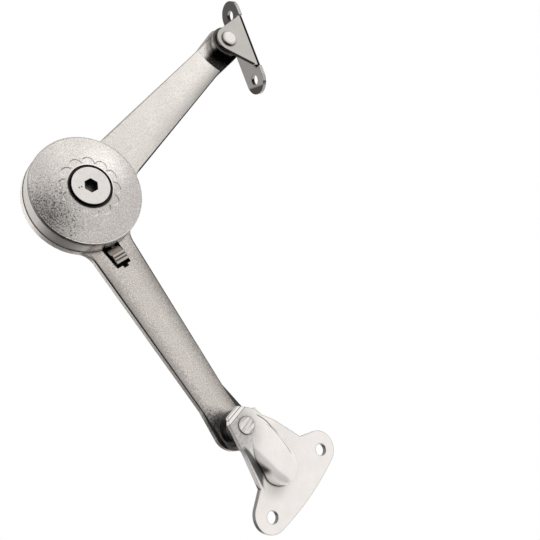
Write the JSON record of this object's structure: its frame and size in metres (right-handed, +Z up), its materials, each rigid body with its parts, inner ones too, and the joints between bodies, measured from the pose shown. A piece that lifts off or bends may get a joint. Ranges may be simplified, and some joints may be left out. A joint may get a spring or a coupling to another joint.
{
  "type": "lid stay",
  "caption": "Free-stop lid stay: two cast arms turn on a friction elbow with a hexagon-socket tension screw, between a folded lid bracket and a raised T-shaped cabinet bracket.",
  "frame": {"origin": "midway between the two cabinet screw holes, on the T bracket's wall face", "axes": "+Y into the cabinet wall, +Z up, +X to the right seen from the front; hinge axes run along Y"},
  "size_m": [0.1087, 0.015, 0.2114],
  "materials": {
    "nickel_sheet": "satin",
    "nickel_sheet_lid": "satin",
    "steel_rivet": "brushed",
    "dark_steel": "satin",
    "nickel_casting_lower": "satin, grained",
    "nickel_casting_upper": "satin, grained",
    "nickel_casting_cover": "satin, grained",
    "steel_inner": "plain",
    "brass_inner": "plain",
    "bright_screw": "satin",
    "black_seal": "matte",
    "slider_brown": "satin"
  },
  "bodies": {
    "cabinet_bracket": {"cabinet_bracket": "nickel_sheet", "cabinet_rivet": "steel_rivet", "cabinet_washer": "dark_steel"},
    "lower_arm": {"lower_arm": "nickel_casting_lower", "elbow_stud": "steel_inner", "clutch_ring": "steel_inner", "glide_washer": "brass_inner", "inner_friction_plates": "steel_inner", "pressure_plate": "steel_inner", "disc_springs": "dark_steel", "thrust_washer": "steel_inner", "slider_plate": "steel_inner", "detent_leaf": "steel_inner"},
    "upper_arm": {"upper_arm": "nickel_casting_upper", "outer_friction_plate": "brass_inner", "cover_disc": "nickel_casting_cover", "cover_seal": "black_seal"},
    "tension_screw": {"tension_screw": "bright_screw"},
    "slider": {"slider_button": "slider_brown"},
    "lid_bracket": {"lid_bracket": "nickel_sheet_lid", "lid_rivet": "steel_rivet", "lid_washer": "dark_steel"}
  },
  "joints": [
    {"name": "cabinet_pivot", "type": "hinge", "parent": "cabinet_bracket", "child": "lower_arm", "pos_m": [-0.02318, 0, 0.0218], "axis": [0, -1, 0], "range_deg": [-60, 75]},
    {"name": "elbow", "type": "hinge", "parent": "lower_arm", "child": "upper_arm", "pos_m": [-0.0706, 0, 0.1055], "axis": [0, -1, 0], "range_deg": [-62, 68]},
    {"name": "lid_pivot", "type": "hinge", "parent": "upper_arm", "child": "lid_bracket", "pos_m": [-0.0066, 0, 0.17394], "axis": [0, -1, 0], "range_deg": [-60, 60]},
    {"name": "slider_slide", "type": "slide", "parent": "lower_arm", "child": "slider", "axis": [0.4929, 0, -0.8701], "range_m": [0, 0.0009]},
    {"name": "tension_turn", "type": "hinge", "parent": "lower_arm", "child": "tension_screw", "pos_m": [-0.0706, 0, 0.1055], "axis": [0, -1, 0], "range_deg": [-180, 180]}
  ]
}
